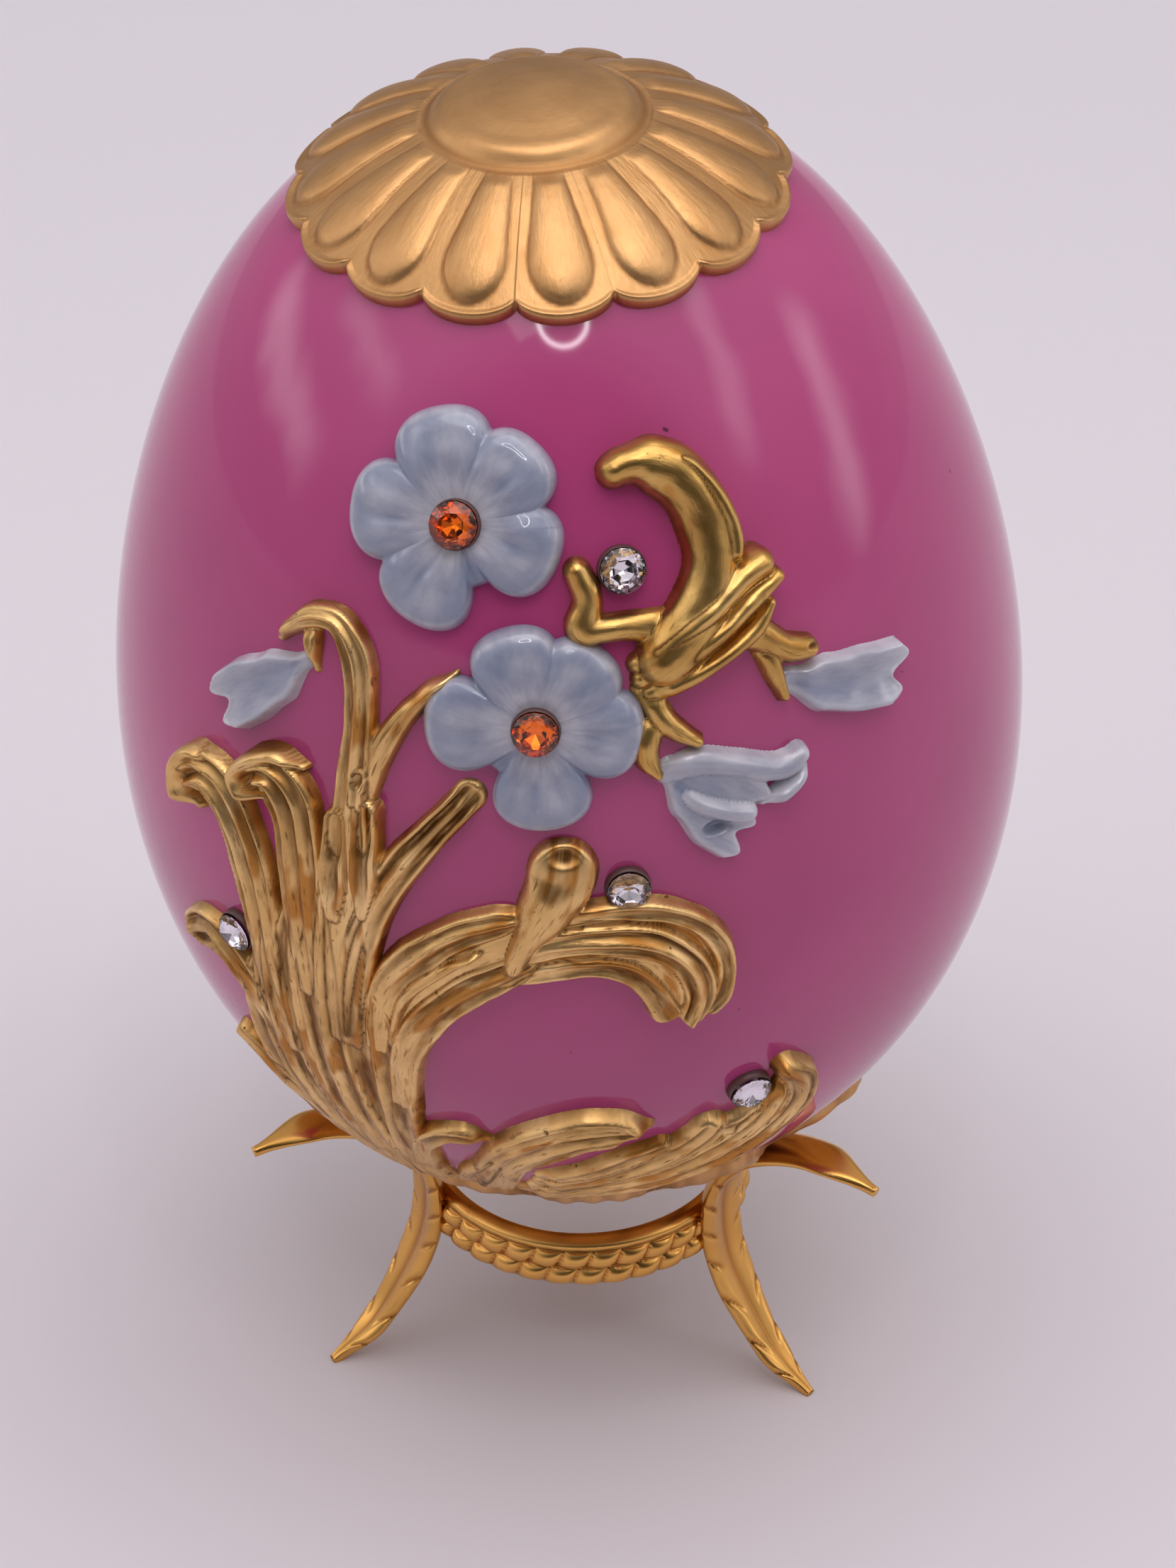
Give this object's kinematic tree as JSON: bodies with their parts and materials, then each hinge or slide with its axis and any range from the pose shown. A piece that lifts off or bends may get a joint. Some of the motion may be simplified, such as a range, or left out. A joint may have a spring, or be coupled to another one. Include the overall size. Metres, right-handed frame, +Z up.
{
  "type": "jewelled egg on a stand",
  "caption": "Glazed porcelain egg with a gilt rosette cap, moulded leaves, flowers and set stones, resting on a beaded ring stand with leaf-shaped legs.",
  "frame": {"origin": "on the ground under the middle of the whole, feet on Z = 0", "axes": "+Z up through the egg, -Y towards the ornamented front, +X to the viewer's right"},
  "size_m": [0.0648, 0.0674, 0.1074],
  "materials": {
    "pink_glaze": "glossy glaze",
    "gilding": "burnished gilding with dark patina in its grooves",
    "blue_glaze": "glossy glaze",
    "amber_stone": "cut and polished",
    "clear_stone": "cut and polished",
    "gold_plate": "bright gold plate"
  },
  "bodies": {
    "root": {"egg": "pink_glaze", "amber_stone_upper": "amber_stone", "amber_stone_lower": "amber_stone", "clear_stone_top": "clear_stone", "clear_stone_middle": "clear_stone", "clear_stone_left": "clear_stone", "clear_stone_right": "clear_stone", "stand_ring": "gold_plate", "leg_front_left": "gold_plate", "leg_front_right": "gold_plate", "leg_back": "gold_plate"}
  },
  "joints": []
}
